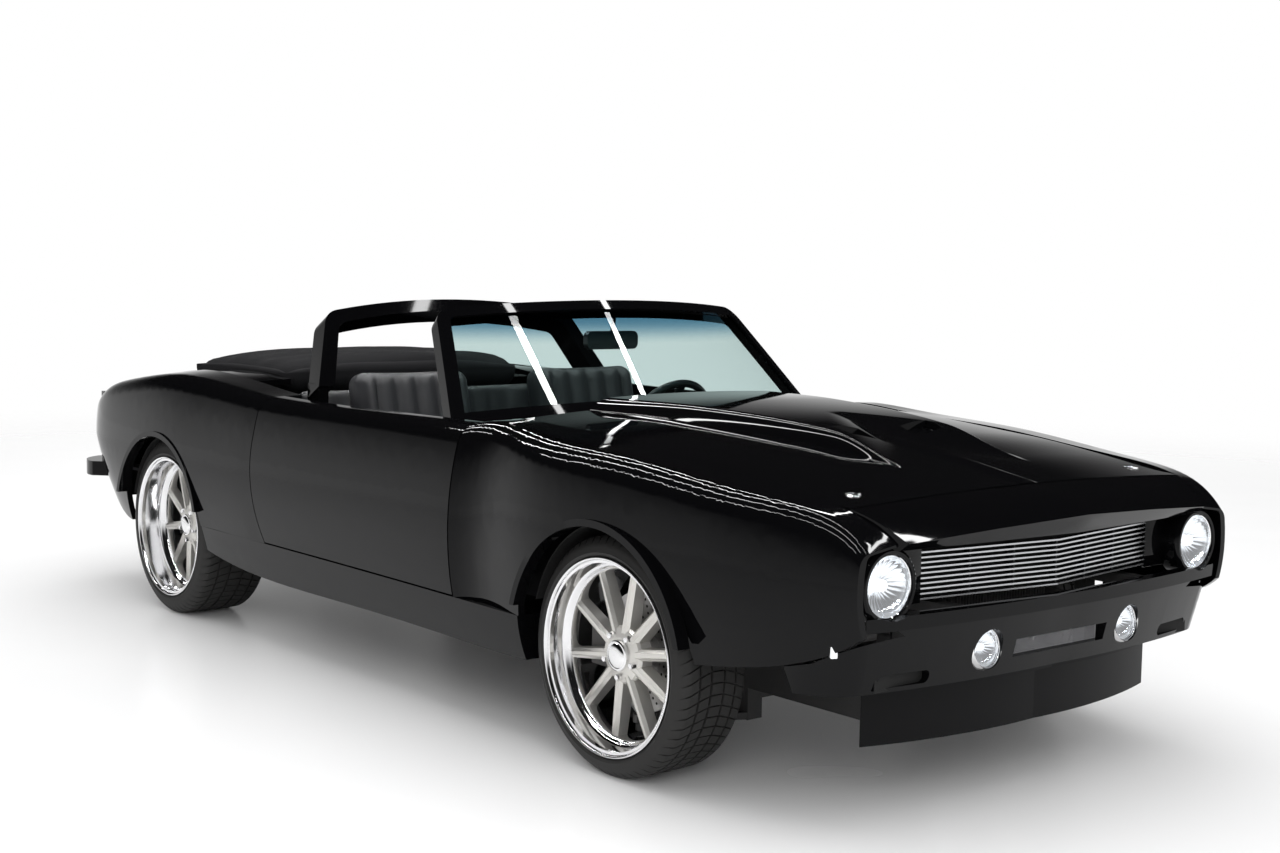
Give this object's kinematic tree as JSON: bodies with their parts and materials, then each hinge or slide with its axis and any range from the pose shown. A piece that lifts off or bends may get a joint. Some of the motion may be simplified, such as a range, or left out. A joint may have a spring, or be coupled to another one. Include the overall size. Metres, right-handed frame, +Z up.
{
  "type": "muscle car",
  "caption": "Two-door open-top muscle car with a folded roof under its boot, a roll hoop, opening doors, hood and trunk lid, steered front wheels and deep-dish multi-spoke wheels.",
  "frame": {"origin": "on the ground under the middle of the car, half way between the nose and the tail, on the centre line", "axes": "+X forward, +Y to the car's left, +Z up"},
  "size_m": [4.648, 1.8596, 1.2579],
  "materials": {
    "black_paint": "deep gloss black paint",
    "chassis_black": "satin black chassis paint",
    "cast_metal": "painted cast iron",
    "exhaust_steel": "brushed stainless tube",
    "bright_grille": "bright machined bars",
    "lamp_glass": "clear lamp glass",
    "red_lens": "red lens",
    "mesh": "bright mesh",
    "windshield": "clear tinted glass",
    "mirror": "black casing with a mirror face",
    "canvas": "black canvas",
    "trim_black": "black trim",
    "wheel_rim_black": "moulded black rim with polished spokes",
    "seat_leather": "dark pleated leather",
    "well_black": "matt black lining",
    "wheel_alloy": "satin spokes, polished lip",
    "tyre": "black rubber"
  },
  "bodies": {
    "body": {"floor_pan": "chassis_black", "front_subframe": "chassis_black", "engine_block": "cast_metal", "driveline": "cast_metal", "rear_axle": "chassis_black", "leaf_springs": "chassis_black", "control_arms": "chassis_black", "exhaust": "exhaust_steel", "fuel_tank": "chassis_black", "front_fenders": "black_paint", "header_panel": "black_paint", "grille": "bright_grille", "headlamps": "lamp_glass", "front_bumper": "black_paint", "front_valance": "black_paint", "fog_lamps": "lamp_glass", "valance_mesh": "mesh", "air_dam": "chassis_black", "cowl_panel": "black_paint", "windshield_frame": "black_paint", "windshield_glass": "windshield", "rear_view_mirror": "mirror", "roll_hoop": "black_paint", "quarter_panels": "black_paint", "rocker_panels": "black_paint", "rear_deck": "black_paint", "tail_panel": "black_paint", "tail_lamps": "red_lens", "rear_bumper": "black_paint", "rear_valance": "black_paint", "top_boot": "canvas", "dashboard": "trim_black", "front_seats": "seat_leather", "rear_seat": "seat_leather", "front_wells": "well_black", "rear_tubs": "well_black"},
    "door_left": {"door_left": "black_paint"},
    "door_right": {"door_right": "black_paint"},
    "hood": {"hood": "black_paint"},
    "trunk_lid": {"trunk_lid": "black_paint"},
    "steering_wheel": {"steering_wheel": "wheel_rim_black"},
    "knuckle_left": {"knuckle_left": "cast_metal"},
    "knuckle_right": {"knuckle_right": "cast_metal"},
    "wheel_front_left": {"wheel_front_left": "wheel_alloy", "tyre_front_left": "tyre"},
    "wheel_front_right": {"wheel_front_right": "wheel_alloy", "tyre_front_right": "tyre"},
    "wheel_rear_left": {"wheel_rear_left": "wheel_alloy", "tyre_rear_left": "tyre"},
    "wheel_rear_right": {"wheel_rear_right": "wheel_alloy", "tyre_rear_right": "tyre"}
  },
  "joints": [
    {"name": "door_left_hinge", "type": "hinge", "parent": "body", "child": "door_left", "pos_m": [0.717, 0.914, 0.65], "axis": [0, 0, -1], "range_deg": [0, 65]},
    {"name": "door_right_hinge", "type": "hinge", "parent": "body", "child": "door_right", "pos_m": [0.717, -0.914, 0.65], "axis": [0, 0, 1], "range_deg": [0, 65]},
    {"name": "hood_hinge", "type": "hinge", "parent": "body", "child": "hood", "pos_m": [0.753, 0, 0.972], "axis": [0, -1, 0], "range_deg": [0, 50]},
    {"name": "trunk_hinge", "type": "hinge", "parent": "body", "child": "trunk_lid", "pos_m": [-1.883, 0, 0.903], "axis": [0, 1, 0], "range_deg": [0, 65]},
    {"name": "steer_left", "type": "hinge", "parent": "body", "child": "knuckle_left", "pos_m": [1.419, 0.7525, 0.3275], "axis": [0, 0, 1], "range_deg": [-30, 30]},
    {"name": "steer_right", "type": "hinge", "parent": "body", "child": "knuckle_right", "pos_m": [1.419, -0.7525, 0.3275], "axis": [0, 0, 1], "range_deg": [-30, 30]},
    {"name": "steering_wheel_turn", "type": "hinge", "parent": "body", "child": "steering_wheel", "pos_m": [0.184, 0.38, 0.8], "axis": [-0.8829, 0, 0.4695], "range_deg": [-450, 450]},
    {"name": "spin_front_left", "type": "hinge", "parent": "knuckle_left", "child": "wheel_front_left", "pos_m": [1.419, 0.7525, 0.3275], "axis": [0, 1, 0], "continuous": true},
    {"name": "spin_front_right", "type": "hinge", "parent": "knuckle_right", "child": "wheel_front_right", "pos_m": [1.419, -0.7525, 0.3275], "axis": [0, 1, 0], "continuous": true},
    {"name": "spin_rear_left", "type": "hinge", "parent": "body", "child": "wheel_rear_left", "pos_m": [-1.324, 0.7325, 0.3395], "axis": [0, 1, 0], "continuous": true},
    {"name": "spin_rear_right", "type": "hinge", "parent": "body", "child": "wheel_rear_right", "pos_m": [-1.324, -0.7325, 0.3395], "axis": [0, 1, 0], "continuous": true}
  ],
  "couplings": [
    {"joint": "steer_right", "follows": "steer_left", "ratio": 1},
    {"joint": "steering_wheel_turn", "follows": "steer_left", "ratio": 15}
  ]
}
